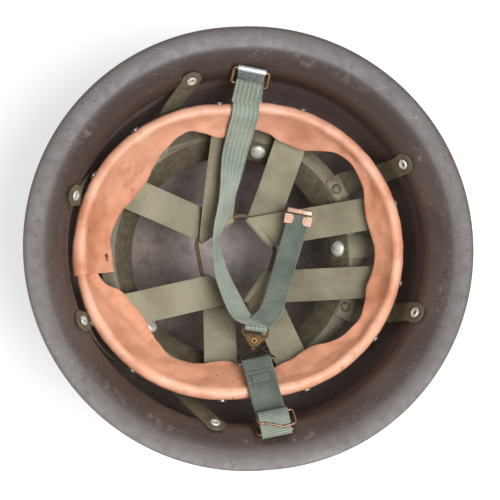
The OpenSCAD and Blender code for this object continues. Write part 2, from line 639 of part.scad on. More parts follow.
module chin_strap() {
  wrap = concat([[-11.5, -4.9], [-6, -0.9]], arc([0, 0], wrap_r, 100, -80, 8),
    [[-4, -3.2], [-8.5, -4.9]]);
  n = len(web_line);
  web_w = [for (i = [0:n - 1]) i < n - 3 ? chin_w - 0.1 : hook_web + (chin_w - hook_web)*(n - 1 - i)/4];
  tail_w = [for (i = [0:len(tail_line) - 1]) min(hook_web + i*0.4, chin_w - 2)];
  color([0.52, 0.57, 0.52]) {
    webbing(right_bar, right_turn, wrap, chin_w);
    free_web(web_line, web_turn, web_roll, web_w, chin_t - 0.1);
    free_web(tail_line, tail_turn, tail_roll, tail_w, chin_t - 0.1);
    webbing(hook_at, hook_turn, concat([[3.5, 1.7], [2, 1.6]], arc([1.3, 0], hook_bar + soft_gap + chin_t/2, 90, 270, 6),
      [[2, -1.6], [3.5, -1.7]]), hook_web);
  }
}

module strap_tip() {
  n = len(tail_line) - 1;
  end = lift(tail_line[n]);
  along = unit(end - lift(tail_line[n - 1]));
  color([0.78, 0.58, 0.47]) translate(end) rotate([0, 0, tail_turn[n]])
    rotate([0, tail_roll[n], 0]) rotate([asin(along[2]/cos(tail_roll[n])), 0, 0]) {
    translate([0, 1.6, 0]) cube([17.4, 2.6, 3.2], center = true);
    for (x = [-7.1, 7.1]) for (z = [-1, 1]) translate([x, -2.4, z*1.45])
      cube([4.4, 5.4, 0.7], center = true);
  }
}

module at_hook() {
  translate(hook_at) rotate([0, 0, hook_turn]) children();
}

// Plate with a slot for the web at its wide end and a lip turned down at its narrow end
module hook_plate() {
  w = hook_slot/2 + 1.6;
  color([0.45, 0.35, 0.16]) at_hook() difference() {
    union() {
      translate([0, 0, -hook_t/2]) linear_extrude(hook_t)
        polygon([[-w, -1.3], [-w, -3.2], [-1.2, -9.3], [-1.2, -hook_len], [1.2, -hook_len], [1.2, -9.3],
            [w, -3.2], [w, -1.3]]);
      for (s = [-1, 1]) translate([s > 0 ? hook_slot/2 : -w, -1.3, -hook_t/2])
        cube([w - hook_slot/2, 2.6, hook_t]);
      translate([-w, 1.3, 0]) rotate([0, 90, 0]) cylinder(h = 2*w, r = hook_bar, $fn = 32);
      translate([-1.2, -hook_len - 0.2, -hook_t/2 - 2.8]) cube([2.4, 1, 3.3]);
    }
    translate([-hook_slot/2, -2.6, -2]) cube([hook_slot, 3.3, 4]);
    translate([0, -eyelet_y, -3]) cylinder(h = 6, r = 1.5, $fn = 32);
  }
}

module hook_eyelet() {
  z = hook_t/2 + 0.05;
  color([0.50, 0.40, 0.20]) at_hook() translate([0, -eyelet_y, 0]) rotate_extrude($fn = 32)
    polygon([[0.95, -z - 0.4], [2, -z - 0.4], [2.1, -z], [1.42, -z], [1.42, z], [2.1, z], [2, z + 0.4],
      [0.95, z + 0.4]]);
}

module short_strap() {
  line = concat([[30.5, -16.3], [36, -20.2], [41.4, -23.5]],
    arc(ring_fold, ring_wrap, 62, -118, 8),
    [[41, -26.5], [35, -22.5], [31.5, -20], [28, -17.8], [21, -13.7], [14.4, -8.9], [9.7, -4.7], [8.1, -3.9],
      [4.2, -2.95]],
    arc([0, 0], wrap_r, -82, -270, 9), [[4, 1.95], [8, 1.3]], arc(clip_fold, clip_wrap, 72, -105, 7),
    [[9.8, -2.3]]);
  color([0.50, 0.55, 0.52]) webbing(left_bar, left_turn, line, short_w);
}

// A place given across the left loop's bar, inwards from it and up
function from_left(x, p) = left_bar + x*[cos(left_turn), sin(left_turn), 0]
  + p[0]*left_in + [0, 0, p[1]];

module wire_ring() {
  half = short_w/2 + 1.7 + ring_wire/2;
  apex = hook_at + ring_apex_y*[sin(hook_turn), -cos(hook_turn), 0] + [0, 0, ring_apex_z];
  d = apex - from_left(0, ring_fold);
  x = d*[cos(left_turn), sin(left_turn), 0];
  y = norm([d*left_in, d[2]]);
  tip = 2.9*[cos(hook_turn - left_turn), sin(hook_turn - left_turn)];
  p = [[-half, 0], [half, 0], [x, y] + tip, [x, y] - tip];
  color([0.50, 0.42, 0.36]) translate(from_left(0, ring_fold)) rotate([0, 0, left_turn])
    rotate([atan2(d[2], d*left_in), 0, 0]) {
      tube([for (q = rounded(p, 1.2)) [q[0], q[1], 0]], [0, 0, 1], ring_wire/2, 12);
      rotate([0, 90, 0]) cylinder(h = short_w, r = ring_wire/2 + 0.02, center = true, $fn = 32);
    }
}

module slide_clip() {
  x0 = -short_w/2 - 0.3 - clip_wire/2;
  x1 = short_w/2 + 2.5 + clip_wire/2;
  d = clip_top - clip_fold;
  color([0.68, 0.47, 0.36]) translate(from_left(0, clip_fold)) rotate([0, 0, left_turn])
    rotate([180 - atan2(d[1], -d[0]), 0, 0])
      wire_frame([[x0, 0], [x1, 0], [x1, norm(d)], [x0, norm(d)]], clip_wire/2, 1.6);
}

shell();
shell_rivets();
rear_bow_right();
rear_bow_left();
front_arm_right();
front_arm_left();
flange_rivets();
liner_ring();
hanger_tabs();
dome_rivets();
tab_rivets();
liner_hoop();
hoop_rivets();
sweatband();
crown_strap_front_right();
crown_strap_rear_right();
crown_strap_rear_left();
crown_strap_front_left();
crown_lace();
strap_bracket_right();
strap_bracket_left();
bracket_rivets();
wire_loop_right();
wire_loop_left();
chin_strap();
strap_tip();
hook_plate();
hook_eyelet();
short_strap();
wire_ring();
slide_clip();
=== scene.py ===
import math
import bmesh
import bpy
from mathutils import Matrix, Vector, noise


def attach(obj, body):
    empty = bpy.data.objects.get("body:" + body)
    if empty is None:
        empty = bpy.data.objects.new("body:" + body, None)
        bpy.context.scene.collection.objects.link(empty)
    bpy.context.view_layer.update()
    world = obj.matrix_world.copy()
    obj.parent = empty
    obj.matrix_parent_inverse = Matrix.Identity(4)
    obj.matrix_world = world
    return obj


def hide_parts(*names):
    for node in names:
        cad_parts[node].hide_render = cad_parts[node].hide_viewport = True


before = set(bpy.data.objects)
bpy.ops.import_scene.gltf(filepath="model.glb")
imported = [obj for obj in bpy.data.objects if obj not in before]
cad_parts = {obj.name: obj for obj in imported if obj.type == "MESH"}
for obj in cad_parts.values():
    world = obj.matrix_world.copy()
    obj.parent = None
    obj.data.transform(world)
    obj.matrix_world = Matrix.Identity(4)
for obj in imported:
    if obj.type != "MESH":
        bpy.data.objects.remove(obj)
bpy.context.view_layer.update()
mm = 0.001
upward = Vector((0, 0, 1))
# Sizes that several pieces share, in millimetres: all heights hang from the rim
helmet = {"height": 165.0, "linerX": -4.0, "hoopR": 92.0, "hoopFlat": 12.0}
shellH, hoopR, hoopFlat = helmet["height"], helmet["hoopR"], helmet["hoopFlat"]
linerShift = Vector((helmet["linerX"], 0, 0))
print("frame loaded")


# Small helpers for curves, all in millimetres and degrees
def cosd(a):
    return math.cos(math.radians(a))


def sind(a):
    return math.sin(math.radians(a))


def turnTo(a, b=0):
    return Vector((cosd(a) * cosd(b), sind(a) * cosd(b), -sind(b)))


def arcPoints(centre, radius, start, end, steps, first=0):
    turns = [start + (end - start) * i / steps for i in range(first, steps + 1)]
    return [(centre[0] + radius * cosd(t), centre[1] + radius * sind(t)) for t in turns]


def smoothed(points, steps=8):
    last = len(points) - 1
    done = []
    for i in range(last):
        a, b, c, d = (points[min(max(i + k, 0), last)] for k in (-1, 0, 1, 2))
        for j in range(steps):
            t = j / steps
            done.append(0.5 * (2 * b + (c - a) * t + (2 * a - 5 * b + 4 * c - d) * t * t
                               + (3 * b - a - 3 * c + d) * t ** 3))
    return done + [points[last]]


def smoothedPairs(points, steps=6):
    return [(p.x, p.y) for p in smoothed([Vector((q[0], q[1], 0)) for q in points], steps)]


# Rounds the corners of a line, up to cut millimetres from each corner
def roundCorners(points, cut, steps=6):
    done = []
    for i, here in enumerate(points):
        before, after = points[i - 1], points[(i + 1) % len(points)]
        u = here + (before - here) * min(0.48, cut / (before - here).length)
        v = here + (after - here) * min(0.48, cut / (after - here).length)
        for j in range(steps + 1):
            t = j / steps
            done.append((1 - t) ** 2 * u + 2 * t * (1 - t) * here + t * t * v)
    return done


# Objects and meshes: edges that turn by more than sharp degrees stay sharp
def addObject(name, bm, look, body="helmet", sharp=50, stands=()):
    mesh = bpy.data.meshes.new(name)
    bmesh.ops.recalc_face_normals(bm, faces=bm.faces)
    for edge in bm.edges:
        edge.smooth = not (len(edge.link_faces) == 2 and edge.calc_face_angle(0) > math.radians(sharp))
    for face in bm.faces:
        face.smooth = True
    bm.to_mesh(mesh)
    bm.free()
    mesh.materials.append(look)
    obj = bpy.data.objects.new(name, mesh)
    bpy.context.collection.objects.link(obj)
    if body:
        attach(obj, body)
    if stands:
        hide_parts(*stands)
    return obj


def thicken(obj, thickness, rim=0.3):
    solid = obj.modifiers.new("thickness", "SOLIDIFY")
    solid.thickness = thickness * mm
    solid.offset = 0
    soft = obj.modifiers.new("edge", "BEVEL")
    soft.width = rim * mm
    soft.segments = 2
    soft.limit_method = "ANGLE"
    soft.angle_limit = math.radians(50)


# A sheet through rows of points, with its UV in metres across and along
def gridMesh(rows, uvScale=None, closed=False):
    count, width = len(rows), len(rows[0])
    bm = bmesh.new()
    bmesh.ops.create_grid(bm, x_segments=count - 1, y_segments=width - 1, size=1)
    layer = bm.loops.layers.uv.new("UVMap")
    where = {}
    for vert in bm.verts:
        i = round((vert.co.x + 1) / 2 * (count - 1))
        j = round((vert.co.y + 1) / 2 * (width - 1))
        where[vert] = (i, j)
        vert.co = rows[i][j] * mm
    along = [0.0]
    for i in range(1, count):
        along.append(along[-1] + (rows[i][width // 2] - rows[i - 1][width // 2]).length)
    for face in bm.faces:
        for loop in face.loops:
            i, j = where[loop.vert]
            across = uvScale * (j / (width - 1) - 0.5) if uvScale else j
            loop[layer].uv = (across * mm, along[i] * mm)
    if closed:
        bmesh.ops.remove_doubles(bm, verts=bm.verts, dist=0.00001)
    return bm


# A flat strip along a line; halves are half widths across, as vectors
def band(line, halves, width, columns=8, bow=0.0, wave=0.0, seed=0.0):
    rows = []
    for i, (centre, half) in enumerate(zip(line, halves)):
        ahead = line[min(i + 1, len(line) - 1)] - line[max(i - 1, 0)]
        up = ahead.cross(half).normalized()
        row = []
        for j in range(columns + 1):
            s = 2 * j / columns - 1
            lift = bow * (1 - s * s)
            if wave:
                lift += wave * noise.noise(Vector((centre.x * 0.06 + seed, centre.y * 0.06, s * 0.9)))
            row.append(centre + half * s + up * lift)
        rows.append(row)
    return gridMesh(rows, width)


# A round wire or cord bent along a closed line
def closedTube(line, radius, sides):
    rows = []
    count = len(line)
    for i in range(count + 1):
        k = i % count
        ahead = (line[(k + 1) % count] - line[k - 1]).normalized()
        sideways = ahead.cross(upward).normalized()
        over = sideways.cross(ahead)
        rows.append([line[k] + radius * (sideways * cosd(360 * j / sides) + over * sind(360 * j / sides))
                     for j in range(sides + 1)])
    return gridMesh(rows, 2 * math.pi * radius, closed=True)


# Node materials: one class wraps a socket, so that maths reads as maths
class Wire:
    def __init__(self, tree, socket):
        self.tree = tree
        self.socket = socket

    def node(self, kind, inputs=None, output=0, **settings):
        made = self.tree.nodes.new(kind)
        for key, value in settings.items():
            setattr(made, key, value)
        for key, value in (inputs or {}).items():
            if isinstance(value, Wire):
                self.tree.links.new(value.socket, made.inputs[key])
            else:
                made.inputs[key].default_value = value
        return Wire(self.tree, made.outputs[output])

    def calc(self, how, a, b=0.0):
        return self.node("ShaderNodeMath", {0: a, 1: b}, operation=how)

    def __add__(self, other):
        return self.calc("ADD", self, other)

    def __radd__(self, other):
        return self.calc("ADD", other, self)

    def __sub__(self, other):
        return self.calc("SUBTRACT", self, other)

    def __rsub__(self, other):
        return self.calc("SUBTRACT", other, self)

    def __mul__(self, other):
        return self.calc("MULTIPLY", self, other)

    def __rmul__(self, other):
        return self.calc("MULTIPLY", other, self)

    def __abs__(self):
        return self.calc("ABSOLUTE", self)

    def least(self, other):
        return self.calc("MINIMUM", self, other)

    def most(self, other):
        return self.calc("MAXIMUM", self, other)

    def noise(self, scale, detail=3.0, rough=0.55):
        return self.node("ShaderNodeTexNoise", {"Vector": self, "Scale": scale, "Detail": detail,
                                                "Roughness": rough})

    def step(self, low, high):
        return self.node("ShaderNodeMapRange", {"Value": self, "From Min": low, "From Max": high},
                         interpolation_type="SMOOTHSTEP")

    def patches(self, scale, detail, low, high):
        return self.noise(scale, detail).step(low, high)

    def stretched(self, x, y, z, turn=0.0):
        return self.node("ShaderNodeMapping", {"Vector": self, "Rotation": (0, 0, math.radians(turn)),
                                               "Scale": (x, y, z)})

    def axis(self, name):
        return self.node("ShaderNodeSeparateXYZ", {0: self}, "XYZ".index(name))

    # 1 within radius millimetres of a point, 0 further away
    def near(self, point, radius, soft):
        centre = tuple(c * mm for c in point)
        away = self.node("ShaderNodeVectorMath", {0: self, 1: centre}, 1, operation="DISTANCE")
        return 1.0 - away.step((radius - soft) * mm, (radius + soft) * mm)

    def wave(self, period):
        return self.calc("SINE", self * (2 * math.pi / period)) * 0.5 + 0.5


def mix(fac, a, b):
    tree = next(w for w in (fac, a, b) if isinstance(w, Wire)).tree
    made = tree.nodes.new("ShaderNodeMix")
    made.data_type = "RGBA"
    for socket, value in ((made.inputs[0], fac), (made.inputs[6], a), (made.inputs[7], b)):
        if isinstance(value, Wire):
            tree.links.new(value.socket, socket)
        else:
            socket.default_value = value if isinstance(value, float) else (*value, 1.0)
    return Wire(tree, made.outputs[2])


# A tint as read on a screen, 0 to 255, turned into the light values that nodes use
def linear(r, g, b):
    return tuple(((c / 255 + 0.055) / 1.055) ** 2.4 if c > 10 else c / 255 / 12.92 for c in (r, g, b))


def tints(**named):
    return {name: linear(*screen) for name, screen in named.items()}


def times(tint, share):
    return tuple(min(1.0, c * share) for c in tint)


def material(name, recipe):
    made = bpy.data.materials.new(name)
    made.use_nodes = True
    tree = made.node_tree
    shader = tree.nodes["Principled BSDF"]
    coords = tree.nodes.new("ShaderNodeTexCoord")
    look = recipe(Wire(tree, coords.outputs["Object"]), Wire(tree, coords.outputs["UV"]))
    for key, value in look.items():
        if key == "Height":
            height, distance = value
            bump = height.node("ShaderNodeBump", {"Height": height, "Distance": distance * mm,
                                                  "Strength": 1.0})
            tree.links.new(bump.socket, shader.inputs["Normal"])
        elif isinstance(value, Wire):
            tree.links.new(value.socket, shader.inputs[key])
        else:
            shader.inputs[key].default_value = value if isinstance(value, float) else (*value, 1.0)
    return made


# Shell paint: heights in metres over which one tone gives way to the next, then the tints
shellBands = {"crownEnd": (0.06, 0.1), "wallEnd": (0.128, 0.150), "lip": (0.1575, 0.1635),
              "topFlare": (0.125, 0.14), "topFlareEnd": (0.157, 0.163), "scuffs": (0.1565, 0.159),
              "scuffsEnd": (0.1615, 0.1635), "rimEdge": (0.1634, 0.1647), "bareChip": (0.158, 0.162)}
# wall and crown are painted light: their tints are lighter than the paint's own tone
shellTints = tints(flareDark=(60, 46, 39), flare=(80, 64, 57), wall=(126, 108, 104), crown=(128, 116, 110),
                   lip=(74, 66, 64), topFlare=(50, 35, 27), shadedLip=(48, 40, 41), mottle=(58, 44, 38),
                   stain=(50, 36, 31), scratch=(150, 138, 132), scuff=(150, 132, 116), haze=(150, 132, 118),
                   speck=(168, 150, 134), chip=(58, 42, 36), bareChip=(44, 32, 28), worn=(150, 136, 126))


def shellPaint(place, uv):
    broad, fine, grain = place.noise(14, 5), place.noise(160, 4), place.noise(1100, 2)
    high = place.axis("Z")
    over = {name: high.step(*ends) for name, ends in shellBands.items()}
    tint = shellTints
    colour = mix(broad.step(0.35, 0.65), tint["flareDark"], tint["flare"])
    # painted light: the deep wall and the crown are painted lighter, standing in for light that the bowl
    # keeps out
    colour = mix(1.0 - over["wallEnd"], colour, tint["wall"])
    colour = mix(1.0 - over["crownEnd"], colour, tint["crown"])
    colour = mix(over["lip"] * 0.85, colour, tint["lip"])
    # the side away from the light is darker
    topSide = place.axis("Y").step(0.02, 0.11)
    colour = mix(topSide * over["topFlare"] * (1.0 - over["topFlareEnd"]) * 0.8, colour, tint["topFlare"])
    shadeSide = topSide.most(place.axis("X").step(0.05, 0.12) * 0.6)
    colour = mix(shadeSide * over["lip"] * 0.6, colour, tint["shadedLip"])
    colour = mix(fine.step(0.45, 0.75) * 0.35, colour, tint["mottle"])
    colour = mix(place.patches(34, 5, 0.56, 0.66) * 0.45, colour, tint["stain"])
    # scratches both ways, then wear on the lip
    scratches = place.stretched(6, 260, 60, 28).patches(4, 2, 0.7, 0.74) * place.patches(30, 2, 0.52, 0.6)
    crossing = place.stretched(240, 8, 60, -14).patches(4, 2, 0.7, 0.74) * place.patches(26, 2, 0.54, 0.62)
    colour = mix((scratches + crossing) * 0.5, colour, tint["scratch"])
    worn = over["scuffs"] * (1.0 - over["scuffsEnd"])
    scuffs = place.patches(900, 5, 0.54, 0.64) * place.patches(44, 4, 0.44, 0.6) * worn
    colour = mix(scuffs * 0.35, colour, tint["scuff"])
    haze = place.patches(210, 4, 0.5, 0.7) * place.patches(22, 3, 0.48, 0.62) * worn
    colour = mix(haze * 0.35, colour, tint["haze"])
    specks = place.patches(620, 3, 0.66, 0.7) * place.patches(50, 2, 0.45, 0.6)
    colour = mix(specks * 0.5, colour, tint["speck"])
    chips = place.patches(230, 4, 0.62, 0.66) * over["rimEdge"] * place.patches(24, 2, 0.5, 0.56)
    colour = mix(chips, colour, tint["chip"])
    # one large chip on the rim, with a rubbed place beside it
    chip = place.near((124, 79, 165), 5.5, 2) + place.near((128, 70, 165), 4, 2)
    chip = (chip * place.patches(360, 3, 0.44, 0.5)).least(1.0)
    colour = mix(chip * over["bareChip"], colour, tint["bareChip"])
    rubbed = place.near((119, 82, 163), 9, 7) * place.patches(330, 3, 0.56, 0.62)
    colour = mix(rubbed * 0.6, colour, tint["worn"])
    return {"Base Color": colour, "Roughness": 0.36 + 0.22 * fine, "Specular IOR Level": 0.55,
            "Height": (grain * 0.4 + place.noise(45, 3) * 0.7 - chips * 0.6, 0.15)}


def linerPaint(base, rusty):
    def recipe(place, uv):
        fine = place.noise(260, 5)
        colour = mix(fine.step(0.35, 0.7), base, times(base, 1.4))
        colour = mix(place.patches(90, 5, 0.5, 0.7) * rusty, colour, linear(92, 62, 42))
        colour = mix(place.patches(420, 3, 0.64, 0.7) * 0.4, colour, linear(156, 152, 138))
        return {"Base Color": colour, "Roughness": 0.45 + 0.25 * fine, "Metallic": 0.25,
                "Height": (fine, 0.12)}
    return recipe


leatherTints = tints(tan=(194, 128, 95), light=(226, 163, 130), top=(214, 168, 148), bottom=(242, 178, 146),
                     grease=(176, 106, 74), inside=(180, 112, 80), edge=(228, 184, 160), crack=(140, 80, 54),
                     grime=(112, 68, 48), slot=(40, 30, 30))


def leatherSkin(place, uv):
    tint = leatherTints
    pores = place.node("ShaderNodeTexVoronoi", {"Vector": place, "Scale": 900.0})
    broad, greasy, high = place.noise(22, 5), place.noise(60, 5), place.axis("Z")
    colour = mix(broad.step(0.3, 0.7), tint["tan"], tint["light"])
    # painted light: the leather is lighter towards the top and towards the bottom
    colour = mix(place.axis("Y").step(0.02, 0.07) * 0.28, colour, tint["top"])
    colour = mix((1.0 - place.axis("Y").step(-0.08, -0.03)) * 0.4, colour, tint["bottom"])
    colour = mix(greasy.step(0.52, 0.75) * 0.4, colour, tint["grease"])
    colour = mix((1.0 - high.step(0.114, 0.124)) * 0.3, colour, tint["inside"])
    # painted highlight along the crest of the roll, broken into patches
    colour = mix(high.step(0.1375, 0.1405) * place.patches(45, 4, 0.4, 0.6) * 0.5, colour, tint["edge"])
    # thin cracks lie where a stretched noise crosses its middle
    cracks = place.stretched(1, 1, 3).noise(75, 6, 0.7)
    lines = 1.0 - abs(cracks - 0.5).step(0.0, 0.012)
    colour = mix(lines * greasy.step(0.5, 0.65) * 0.45, colour, tint["crack"])
    grime = place.patches(190, 5, 0.6, 0.7) * place.patches(30, 3, 0.48, 0.62)
    colour = mix(grime * 0.5, colour, tint["grime"])
    # painted shade: the slot is not cut, so a dark mark stands in for the shade seen through it, over a dent
    # in the bump
    slot = place.near((-91.6, 2.4, 121), 2.2, 0.5) + place.near((-91.6, -0.2, 121), 2.2, 0.5)
    colour = mix(slot.least(1.0), colour, tint["slot"])
    return {"Base Color": colour, "Roughness": 0.42 + 0.2 * broad, "Coat Weight": 0.06,
            "Specular IOR Level": 0.4,
            "Height": (pores * 0.2 + cracks * 0.8 + broad * 0.5 - slot * 2.0, 0.35)}


# Woven tape in herringbone: panels lie side by side and the picks slant to and fro across them;
# width and pitch are in millimetres, paleBelow and shadedFrom are places along Y in metres
def webbing(light, shade, panels, width, pitch, lift=0.0, slant=0.5, paleBelow=None, shadedFrom=None):
    def recipe(place, uv):
        across, along = uv.axis("X"), uv.axis("Y")
        panelWide = width * mm / panels
        panel = across.wave(panelWide)
        pick = (along + panel * (slant * panelWide) + place.noise(90, 2) * 0.0005).wave(pitch * mm)
        warp = across.wave(panelWide / 3)
        broad, fuzz = place.noise(40, 4), place.noise(1500, 3)
        colour = mix(broad.step(0.3, 0.7), shade, light)
        if paleBelow:
            end = 1.0 - place.axis("Y").step(paleBelow - 0.006, paleBelow)
            colour = mix(end * 0.7, colour, times(light, 1.8))
        if shadedFrom:
            shaded = place.axis("Y").step(shadedFrom, shadedFrom + 0.035)
            colour = mix(shaded * 0.6, colour, linear(92, 102, 84))
        # painted highlight: lift lightens the crest of each panel, and also raises it in the bump
        colour = mix(panel * lift, colour, times(light, 1.7))
        colour = mix(pick * 0.5, colour, times(shade, 0.45))
        colour = mix(warp * pick * 0.3, colour, times(shade, 0.4))
        colour = mix(fuzz.step(0.35, 0.7) * 0.25, colour, times(shade, 0.5))
        colour = mix(place.patches(70, 4, 0.58, 0.75) * 0.3, colour, linear(116, 104, 80))
        return {"Base Color": colour, "Roughness": 0.92, "Specular IOR Level": 0.2, "Sheen Weight": 0.2,
                "Height": (pick * 0.6 - warp * 0.4 + fuzz * 0.5 + panel * lift, 0.3)}
    return recipe


def metal(base, tarnish, shine, amount=1.0):
    def recipe(place, uv):
        fine = place.noise(300, 5)
        colour = mix(place.patches(520, 4, 0.5, 0.66) * 0.7, linear(*base), linear(*tarnish))
        return {"Base Color": colour, "Roughness": shine + 0.25 * fine, "Metallic": amount,
                "Height": (fine, 0.1)}
    return recipe


def cordSkin(place, uv):
    twist = (uv.axis("X") + uv.axis("Y") * 1.2).wave(0.0026)
    colour = mix(place.noise(120, 4), linear(94, 70, 50), linear(146, 116, 84))
    colour = mix(twist * 0.5, colour, linear(66, 46, 32))
    return {"Base Color": colour, "Roughness": 0.8, "Height": (twist, 0.35)}


# Each tape gives light and shade, panels, width and pitch; each metal gives base, tarnish and shine
recipes = {
    "shell": ("shell_paint", shellPaint),
    "ring": ("liner_paint", linerPaint(linear(88, 82, 66), 0.5)),
    "arm": ("arm_paint", linerPaint(linear(92, 86, 68), 0.35)),
    "leather": ("tan_leather", leatherSkin),
    "crownWeb": ("crown_webbing", webbing(linear(182, 176, 150), linear(150, 143, 118), 8, 22, 1.5)),
    "chinWeb": ("chin_webbing", webbing(linear(178, 188, 174), linear(130, 144, 130), 6, 17.5, 1.6, 0.3,
                                        shadedFrom=0.07)),
    # the tail is the chin tape in darker tints: painted shade
    "shadedTailWeb": ("shaded_tail_webbing", webbing(linear(140, 150, 138), linear(92, 106, 96), 6, 15, 1.6, 0.2)),
    "shortWeb": ("short_webbing", webbing(linear(132, 140, 130), linear(92, 100, 92), 7, 19.6, 1.25, 0.1,
                                          0.06, paleBelow=-0.104)),
    "steel": ("zinc_steel", metal((208, 208, 200), (140, 126, 108), 0.42, 0.45)),
    "bright": ("bright_rivet", metal((214, 214, 210), (150, 140, 128), 0.22)),
    "blued": ("blued_steel", metal((188, 199, 203), (116, 122, 124), 0.32, 0.75)),
    "brass": ("old_brass", metal((106, 82, 58), (58, 44, 32), 0.34)),
    "eyelet": ("dark_eyelet", metal((84, 62, 34), (40, 30, 20), 0.3)),
    "ringWire": ("brown_steel_wire", metal((104, 90, 78), (58, 46, 38), 0.4)),
    "bronze": ("brown_bronze", metal((66, 50, 27), (40, 30, 19), 0.4, 0.85)),
    "copper": ("copper_plate", metal((196, 160, 142), (150, 112, 92), 0.3)),
    "wire": ("dull_copper_wire", metal((124, 98, 80), (66, 50, 40), 0.28)),
    "lace": ("lace_cord", cordSkin),
    "thread": ("sewing_thread", metal((46, 56, 48), (34, 42, 36), 0.85, 0.0)),
}
looks = {key: material(*named) for key, named in recipes.items()}
print("materials made")

# Shell: one profile turned round the two ends of the oval, worked out from crown to rim
shell = {"half": 281.5 / 2, "flat": 3.0, "bend": 14.2, "flare": 45.0, "lipBend": 9.0, "lipTop": 75.0,
         "lip": 45.0, "wall": 1.2, "side": 85.0, "sideDown": 61, "throatIn": 27.75, "worn": 0.35,
         "steps": 120, "rimRound": (0.35, 0.15), "rimInset": 0.2, "poleHole": 0.02}
bendR, flare, lipBend, lipTop = (shell[key] for key in ("bend", "flare", "lipBend", "lipTop"))
lipR, wall = shell["lip"], shell["wall"]
throat = shell["half"] - shell["throatIn"]
sideC = (throat - shell["side"], shellH - shell["sideDown"])
run = (shell["half"] - throat - bendR * (1 - cosd(flare)) - lipBend * (cosd(flare) - cosd(lipTop))
       - lipR * cosd(lipTop))
brim = bendR * sind(flare) + run / math.tan(math.radians(flare)) + lipBend * (sind(lipTop) - sind(flare)) \
    + lipR * (1 - sind(lipTop))
reach = sideC[1] - wall + shell["worn"]
crownR = (sideC[0] ** 2 + reach ** 2 - shell["side"] ** 2) / (2 * (reach - shell["side"]))
crownC = (0, wall - shell["worn"] + crownR)
meet = math.degrees(math.atan2(sideC[0], crownC[1] - sideC[1]))
bendC = (throat + bendR, shellH - brim)
flareA = (bendC[0] - bendR * cosd(flare), bendC[1] + bendR * sind(flare))
flareB = (flareA[0] + run, flareA[1] + run / math.tan(math.radians(flare)))
lipC = (flareB[0] + lipBend * cosd(flare), flareB[1] - lipBend * sind(flare))
lipA = (lipC[0] - lipBend * cosd(lipTop), lipC[1] + lipBend * sind(lipTop))
rimC = (lipA[0] + lipR * cosd(lipTop), lipA[1] - lipR * sind(lipTop))


# The shell's line from the crown to the rim, on its inner face or t millimetres outside it
def shellLine(t):
    return (arcPoints(crownC, crownR + t, -90, meet - 90, 16)[:-1]
            + arcPoints(sideC, shell["side"] + t, meet - 90, 0, 22)
            + arcPoints(bendC, bendR - t, 180, 180 - flare, 10)
            + arcPoints(lipC, lipBend - t, 180 - flare, 180 - lipTop, 6)
            + arcPoints(rimC, lipR - t, 180 - lipTop, 90, 5, 1))


inner = shellLine(0)
outer = [(0.0, shell["poleHole"])] + [p for p in shellLine(wall) if p[1] > shell["poleHole"]]
out, down = shell["rimRound"]
inset = shell["rimInset"]
rimR, rimZ = inner[-1]
rim = [(rimR - inset, rimZ), (rimR + out, rimZ - down), (rimR + out, rimZ - wall + down),
       (outer[-1][0] - inset, outer[-1][1])]
profile = inner[:-1] + rim + outer[-2::-1]


# Turns a profile of (radius, height) round the ends of an oval
def spinOval(points, flat, steps):
    bm = bmesh.new()
    verts = [bm.verts.new((flat * mm, -r * mm, z * mm)) for r, z in points]
    edges = [bm.edges.new((a, b)) for a, b in zip(verts, verts[1:])]
    geom = verts + edges
    for end in (flat, -flat):
        done = bmesh.ops.spin(bm, geom=geom, cent=(end * mm, 0, 0), axis=(0, 0, 1), dvec=(0, 0, 0),
                              angle=math.pi, steps=steps, use_duplicate=False)
        last = done["geom_last"]
        drawn = bmesh.ops.extrude_edge_only(bm, edges=[g for g in last if isinstance(g, bmesh.types.BMEdge)])
        geom = [g for g in drawn["geom"] if isinstance(g, (bmesh.types.BMVert, bmesh.types.BMEdge))]
        moved = [g for g in geom if isinstance(g, bmesh.types.BMVert)]
        bmesh.ops.translate(bm, verts=moved, vec=((-2 * end) * mm, 0, 0))
    bmesh.ops.remove_doubles(bm, verts=bm.verts, dist=0.00002)
    bmesh.ops.dissolve_degenerate(bm, edges=bm.edges, dist=0.000001)
    return bm


shellPiece = addObject("helmet_shell", spinOval(profile, shell["flat"], shell["steps"]), looks["shell"],
                       stands=["shell"], sharp=40)
print("shell made")

# Sweatband: a leather sheet folded over the hoop, its ends lapped at the back
leather = {"roll": 3.4, "rollR": hoopR + 0.2, "rollZ": shellH - 28.5, "outZ": shellH - 32,
           "tongue": (72.8, shellH - 47.5), "rollEnd": 142, "thickness": 1.9, "steps": 420, "lap": 1.15,
           "lapStart": 180.0, "lapEnd": 545.6, "lapUnder": 16, "lapOver": 14}
# where its free edge runs: direction from the liner's middle, and radius
leatherEdge = [
    (180, 83), (185.5, 81.9), (188, 80), (190.6, 76.7), (194, 71), (198, 68), (203, 66.5), (208, 65.6),
    (213, 66), (218, 68.6), (224, 71.6), (229, 74.5), (234, 76.1), (240, 75.9), (247, 74.4), (253, 72),
    (258, 71.4), (263, 73), (268, 76.4), (275, 79.5), (281, 79), (287, 77.5), (294, 75.8), (300, 74.1),
    (305, 74.4), (310, 77.2), (316, 80.2), (322, 81.7), (329, 82.1), (335, 80.5), (341, 78.6),
    (348, 79.4), (356, 80), (363, 79), (370, 78.6), (377, 80.3), (385, 83.6), (392, 85.4), (398, 84.8),
    (404, 82.7), (408, 79.3), (413, 76), (418, 75), (425, 75.9), (432, 78.9), (438, 80.4), (446, 79.4),
    (452, 77.2), (457, 77.4), (463, 80.6), (468, 82.5), (474, 81.3), (480, 79), (486, 76), (491, 72.4),
    (496, 69.2), (503, 67.4), (511, 68.6), (518, 71.4), (525, 72.5), (534, 72.3), (541, 72), (546, 71.7)]
topInner = (leather["rollR"] + leather["roll"] * cosd(leather["rollEnd"]),
            leather["rollZ"] + leather["roll"] * sind(leather["rollEnd"]))
